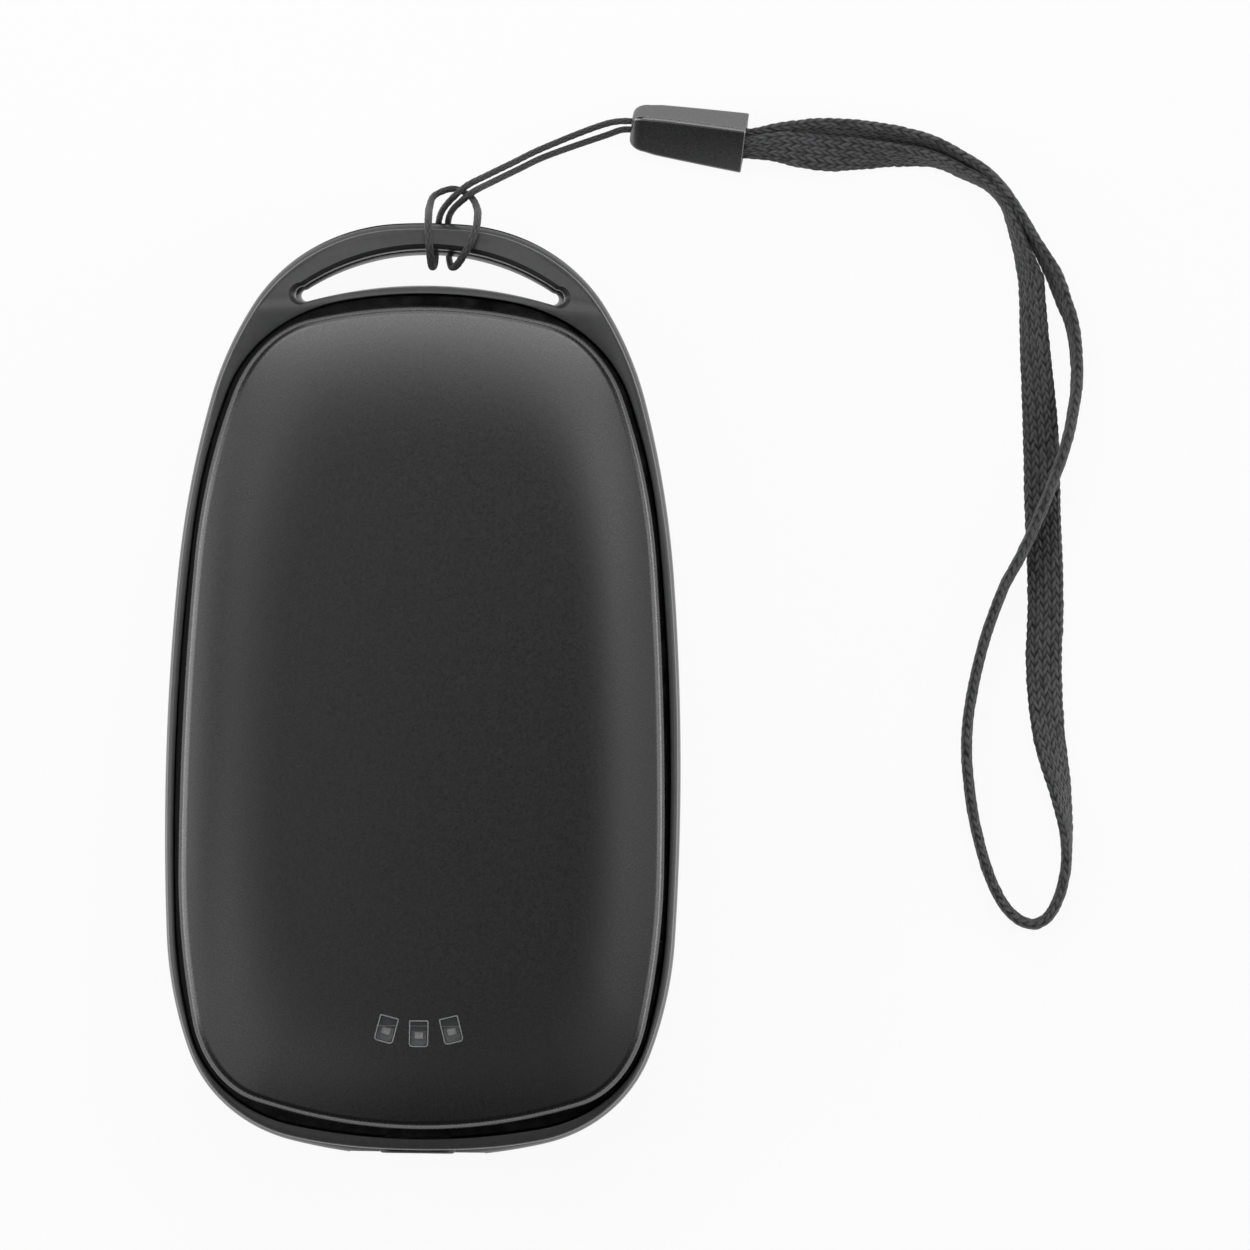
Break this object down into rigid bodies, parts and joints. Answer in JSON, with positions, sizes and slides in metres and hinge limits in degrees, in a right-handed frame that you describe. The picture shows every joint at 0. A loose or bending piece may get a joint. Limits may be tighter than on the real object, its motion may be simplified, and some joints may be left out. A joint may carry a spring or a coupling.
{
  "type": "rechargeable hand warmer",
  "caption": "Flat oval rechargeable hand warmer with two aluminium heating panels, a lanyard loop in its frame, indicator windows and a wrist strap.",
  "frame": {"origin": "centre of the body's footprint on its rear panel, without the strap", "axes": "+Z out of the front panel, +Y towards the lanyard loop, +X to the right seen from the front"},
  "size_m": [0.1081, 0.1248, 0.025],
  "materials": {
    "frame_plastic": "fine matt texture",
    "chassis_plastic": "polished",
    "panel_coating": "satin coating on aluminium",
    "heater_film": "amber film with an etched track",
    "foam": "closed-cell foam",
    "sensor_bead": "glass bead",
    "lead_white": "silicone insulation",
    "lead_red": "silicone insulation",
    "pouch_foil": "laminated foil",
    "tape": "double-sided tape",
    "pad_foam": "soft foam",
    "board_green": "solder mask",
    "socket_steel": "plated",
    "socket_plastic": "moulded",
    "switch_plastic": "moulded",
    "plunger_plastic": "moulded",
    "button_plastic": "fine matt texture",
    "led_body": "clear resin over phosphor",
    "clear_guide": "clear moulding",
    "ferrite": "sintered ferrite",
    "chip_epoxy": "moulded epoxy",
    "capacitor_ceramic": "ceramic",
    "screw_steel": "black zinc",
    "strap_yarn": "braided polyester",
    "crimp_plastic": "satin"
  },
  "bodies": {
    "housing": {"front_frame": "frame_plastic", "rear_frame": "frame_plastic", "front_chassis": "chassis_plastic", "rear_chassis": "chassis_plastic", "front_panel": "panel_coating", "rear_panel": "panel_coating", "front_heater": "heater_film", "rear_heater": "heater_film", "front_foam": "foam", "rear_foam": "foam", "thermistors": "sensor_bead", "heater_leads": "lead_white", "battery_cell": "pouch_foil", "battery_tape": "tape", "battery_pad": "pad_foam", "protection_board": "board_green", "battery_leads": "lead_red", "main_board": "board_green", "usb_c_socket": "socket_steel", "usb_c_tongue": "socket_plastic", "tact_switch": "switch_plastic", "status_leds": "led_body", "light_guide": "clear_guide", "power_inductor": "ferrite", "control_chips": "chip_epoxy", "capacitors": "capacitor_ceramic", "chassis_screws": "screw_steel", "board_screws": "screw_steel", "strap_cord": "strap_yarn", "strap_crimp": "crimp_plastic", "strap_webbing": "strap_yarn"},
    "button": {"power_button": "button_plastic", "switch_plunger": "plunger_plastic"}
  },
  "joints": [
    {"name": "power_button_press", "type": "slide", "parent": "housing", "child": "button", "axis": [0, 1, 0], "range_m": [0, 0.0004], "stiffness_N_per_m": 3000, "springref_m": -0.0002}
  ]
}
